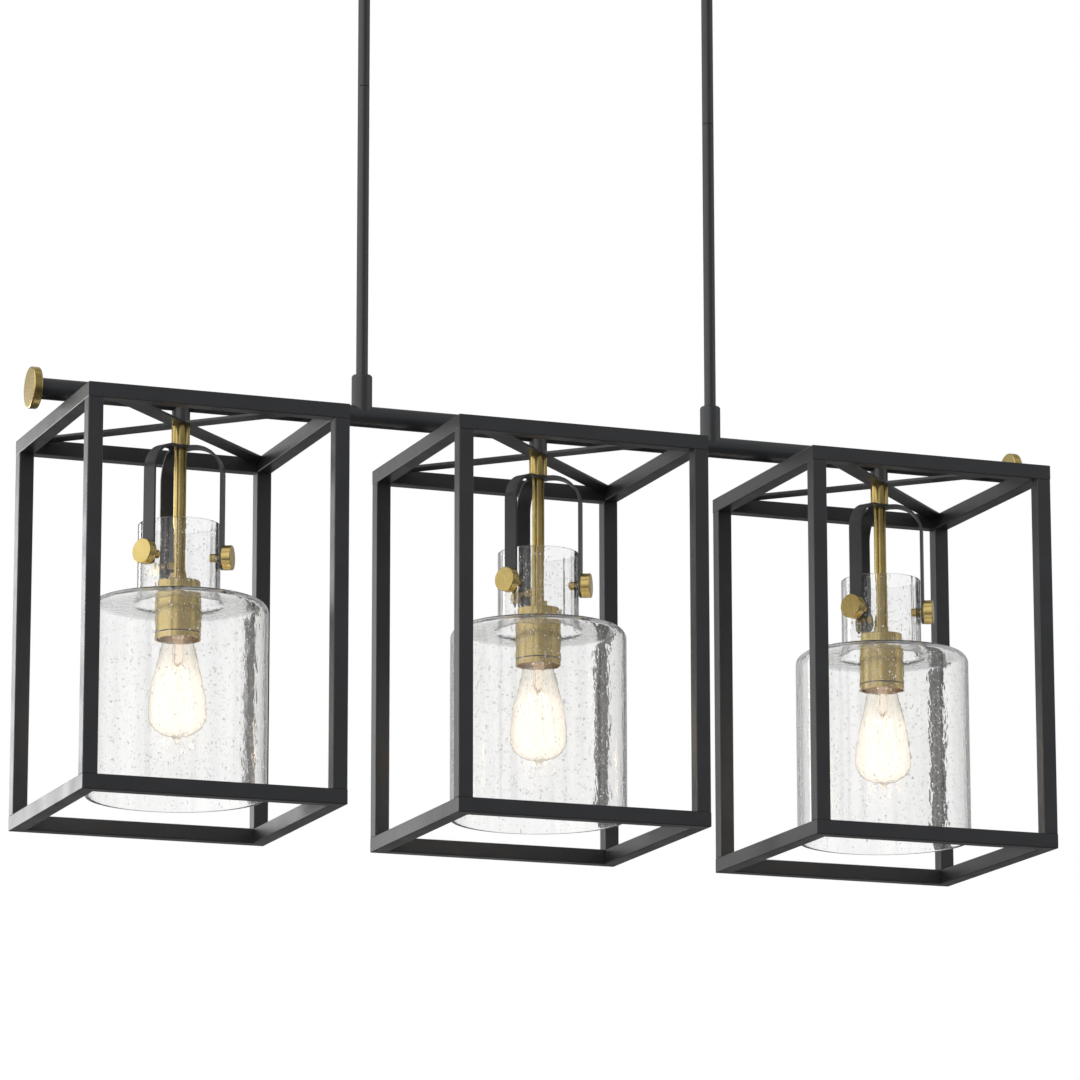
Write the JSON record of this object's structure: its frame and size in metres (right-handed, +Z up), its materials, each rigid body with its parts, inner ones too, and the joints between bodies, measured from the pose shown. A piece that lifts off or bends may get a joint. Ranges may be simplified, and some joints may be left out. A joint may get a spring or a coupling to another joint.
{
  "type": "linear island pendant",
  "caption": "A bar on swivelling rods under a long canopy carries a row of open square cages, each with a seeded glass shade, a brass socket and a screw-in bulb.",
  "frame": {"origin": "centre of the mounting bracket's ceiling face, midway between its two outlet box slots", "axes": "+X along the bar, +Y to the back, +Z up into the ceiling"},
  "size_m": [1.076, 0.2666, 1.1149],
  "materials": {
    "black_paint": "satin black powder coat",
    "satin_brass": "satin brushed brass, lacquered",
    "zinc_steel": "zinc plated",
    "green_steel": "green plated ground screw",
    "contact_metal": "bare brass",
    "porcelain": "glazed white porcelain",
    "seeded_glass": "clear with small air bubbles",
    "bulb_glass": "clear, thin",
    "cap_metal": "plated, satin",
    "tip_solder": "solder on dark insulator"
  },
  "bodies": {
    "ceiling_mount": {"mounting_bracket": "zinc_steel", "ground_screw": "green_steel", "canopy_studs": "zinc_steel", "stud_nuts": "zinc_steel", "canopy": "black_paint", "canopy_cap_nuts": "satin_brass", "swivel_ring_nuts": "black_paint", "swivel_seat_left": "black_paint", "swivel_seat_right": "black_paint"},
    "hanging_fixture": {"swivel_ball_left": "black_paint", "swivel_ball_right": "black_paint", "rod_upper_left": "black_paint", "rod_upper_right": "black_paint", "rod_lower_left": "black_paint", "rod_lower_right": "black_paint", "rod_fitting_left": "black_paint", "rod_fitting_right": "black_paint", "threaded_nipples": "zinc_steel", "main_bar": "black_paint", "end_cap_left": "satin_brass", "end_cap_right": "satin_brass", "stem_couplers": "black_paint", "stem_collars": "satin_brass", "lampholder_contacts": "contact_metal", "cage_frame_left": "black_paint", "stem_left": "satin_brass", "shade_harness_left": "black_paint", "glass_shade_left": "seeded_glass", "socket_cup_left": "satin_brass", "lampholder_left": "porcelain", "cage_frame_middle": "black_paint", "stem_middle": "satin_brass", "shade_harness_middle": "black_paint", "glass_shade_middle": "seeded_glass", "socket_cup_middle": "satin_brass", "lampholder_middle": "porcelain", "cage_frame_right": "black_paint", "stem_right": "satin_brass", "shade_harness_right": "black_paint", "glass_shade_right": "seeded_glass", "socket_cup_right": "satin_brass", "lampholder_right": "porcelain"},
    "thumb_screw_left_back_body": {"thumb_screw_left_back": "satin_brass"},
    "thumb_screw_left_front_left_body": {"thumb_screw_left_front_left": "satin_brass"},
    "thumb_screw_left_front_right_body": {"thumb_screw_left_front_right": "satin_brass"},
    "bulb_feed_left_body": {"bulb_tip_left": "tip_solder"},
    "bulb_left_body": {"bulb_cap_left": "cap_metal", "bulb_glass_left": "bulb_glass"},
    "thumb_screw_middle_back_body": {"thumb_screw_middle_back": "satin_brass"},
    "thumb_screw_middle_front_left_body": {"thumb_screw_middle_front_left": "satin_brass"},
    "thumb_screw_middle_front_right_body": {"thumb_screw_middle_front_right": "satin_brass"},
    "bulb_feed_middle_body": {"bulb_tip_middle": "tip_solder"},
    "bulb_middle_body": {"bulb_cap_middle": "cap_metal", "bulb_glass_middle": "bulb_glass"},
    "thumb_screw_right_back_body": {"thumb_screw_right_back": "satin_brass"},
    "thumb_screw_right_front_left_body": {"thumb_screw_right_front_left": "satin_brass"},
    "thumb_screw_right_front_right_body": {"thumb_screw_right_front_right": "satin_brass"},
    "bulb_feed_right_body": {"bulb_tip_right": "tip_solder"},
    "bulb_right_body": {"bulb_cap_right": "cap_metal", "bulb_glass_right": "bulb_glass"}
  },
  "joints": [
    {"name": "swivel_swing", "type": "hinge", "parent": "ceiling_mount", "child": "hanging_fixture", "pos_m": [0, 0, -0.027], "axis": [1, 0, 0], "range_deg": [-30, 30]},
    {"name": "screw_left_back", "type": "slide", "parent": "hanging_fixture", "child": "thumb_screw_left_back_body", "axis": [0, 1, 0], "range_m": [0, 0.0115]},
    {"name": "screw_left_front_left", "type": "slide", "parent": "hanging_fixture", "child": "thumb_screw_left_front_left_body", "axis": [-0.866, -0.5, 0], "range_m": [0, 0.0115]},
    {"name": "screw_left_front_right", "type": "slide", "parent": "hanging_fixture", "child": "thumb_screw_left_front_right_body", "axis": [0.866, -0.5, 0], "range_m": [0, 0.0115]},
    {"name": "bulb_feed_left", "type": "slide", "parent": "hanging_fixture", "child": "bulb_feed_left_body", "axis": [0, 0, -1], "range_m": [0, 0.024]},
    {"name": "bulb_turn_left", "type": "hinge", "parent": "bulb_feed_left_body", "child": "bulb_left_body", "pos_m": [-0.381, 0, -0.9049], "axis": [0, 0, -1], "range_deg": [0, 2380]},
    {"name": "screw_middle_back", "type": "slide", "parent": "hanging_fixture", "child": "thumb_screw_middle_back_body", "axis": [0, 1, 0], "range_m": [0, 0.0115]},
    {"name": "screw_middle_front_left", "type": "slide", "parent": "hanging_fixture", "child": "thumb_screw_middle_front_left_body", "axis": [-0.866, -0.5, 0], "range_m": [0, 0.0115]},
    {"name": "screw_middle_front_right", "type": "slide", "parent": "hanging_fixture", "child": "thumb_screw_middle_front_right_body", "axis": [0.866, -0.5, 0], "range_m": [0, 0.0115]},
    {"name": "bulb_feed_middle", "type": "slide", "parent": "hanging_fixture", "child": "bulb_feed_middle_body", "axis": [0, 0, -1], "range_m": [0, 0.024]},
    {"name": "bulb_turn_middle", "type": "hinge", "parent": "bulb_feed_middle_body", "child": "bulb_middle_body", "pos_m": [0, 0, -0.9049], "axis": [0, 0, -1], "range_deg": [0, 2380]},
    {"name": "screw_right_back", "type": "slide", "parent": "hanging_fixture", "child": "thumb_screw_right_back_body", "axis": [0, 1, 0], "range_m": [0, 0.0115]},
    {"name": "screw_right_front_left", "type": "slide", "parent": "hanging_fixture", "child": "thumb_screw_right_front_left_body", "axis": [-0.866, -0.5, 0], "range_m": [0, 0.0115]},
    {"name": "screw_right_front_right", "type": "slide", "parent": "hanging_fixture", "child": "thumb_screw_right_front_right_body", "axis": [0.866, -0.5, 0], "range_m": [0, 0.0115]},
    {"name": "bulb_feed_right", "type": "slide", "parent": "hanging_fixture", "child": "bulb_feed_right_body", "axis": [0, 0, -1], "range_m": [0, 0.024]},
    {"name": "bulb_turn_right", "type": "hinge", "parent": "bulb_feed_right_body", "child": "bulb_right_body", "pos_m": [0.381, 0, -0.9049], "axis": [0, 0, -1], "range_deg": [0, 2380]}
  ],
  "couplings": [
    {"joint": "bulb_feed_left", "follows": "bulb_turn_left", "m_per_rad": 0.00057757},
    {"joint": "bulb_feed_middle", "follows": "bulb_turn_middle", "m_per_rad": 0.00057757},
    {"joint": "bulb_feed_right", "follows": "bulb_turn_right", "m_per_rad": 0.00057757}
  ]
}
